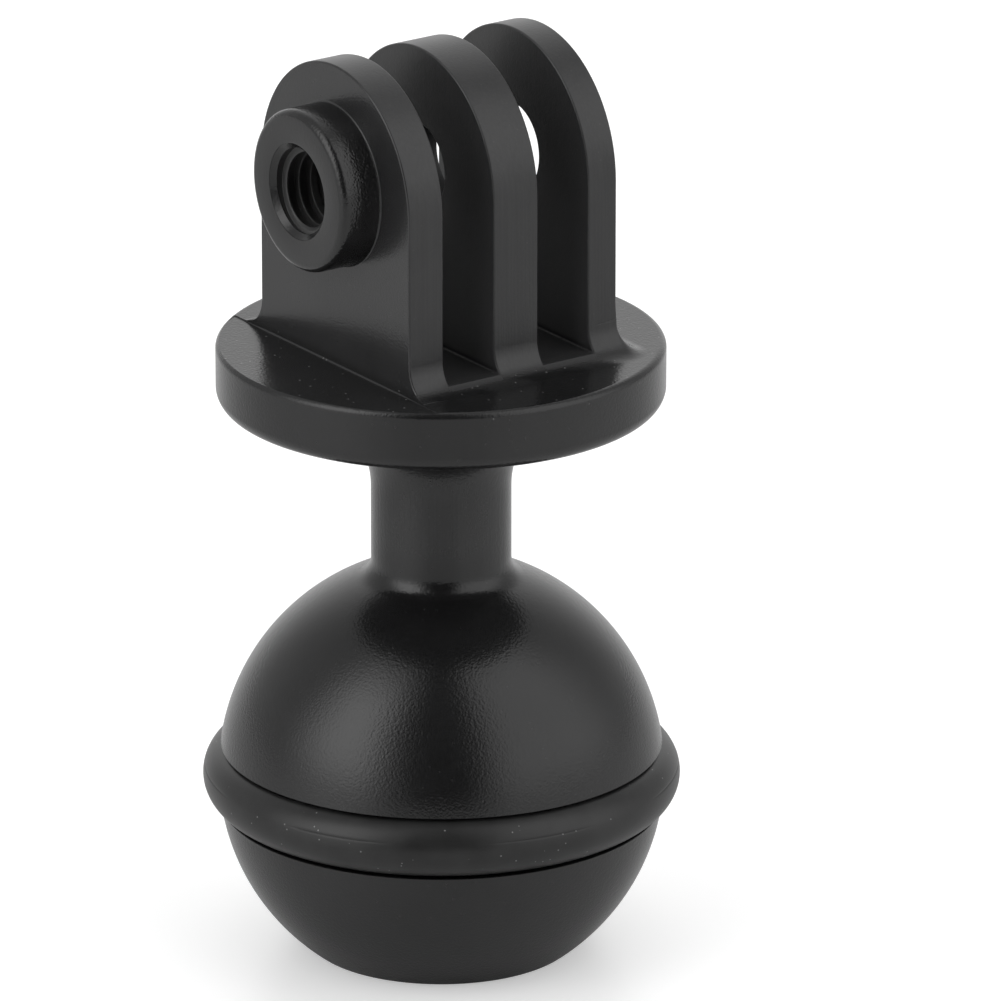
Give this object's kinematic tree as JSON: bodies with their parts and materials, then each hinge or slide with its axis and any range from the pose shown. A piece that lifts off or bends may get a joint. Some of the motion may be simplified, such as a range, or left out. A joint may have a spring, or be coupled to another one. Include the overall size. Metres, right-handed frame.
{
  "type": "camera ball joint mount",
  "caption": "Ball adapter: a machined ball with a rubber ring in its groove, a short neck, a round flange and a slotted clevis that a small camera's foot is screwed into.",
  "frame": {"origin": "centre of the ball", "axes": "+Z from the ball up the neck to the lugs; +X along the screw axis, from the tapped boss towards the far lug, the way the screw is drawn out; +Y completes the right-handed frame"},
  "size_m": [0.0272, 0.0272, 0.0536],
  "materials": {
    "anodised_body": "black anodised, satin with a fine grain",
    "ring_rubber": "matte black rubber"
  },
  "bodies": {
    "root": {"adapter_body": "anodised_body", "ball_o_ring": "ring_rubber"}
  },
  "joints": []
}
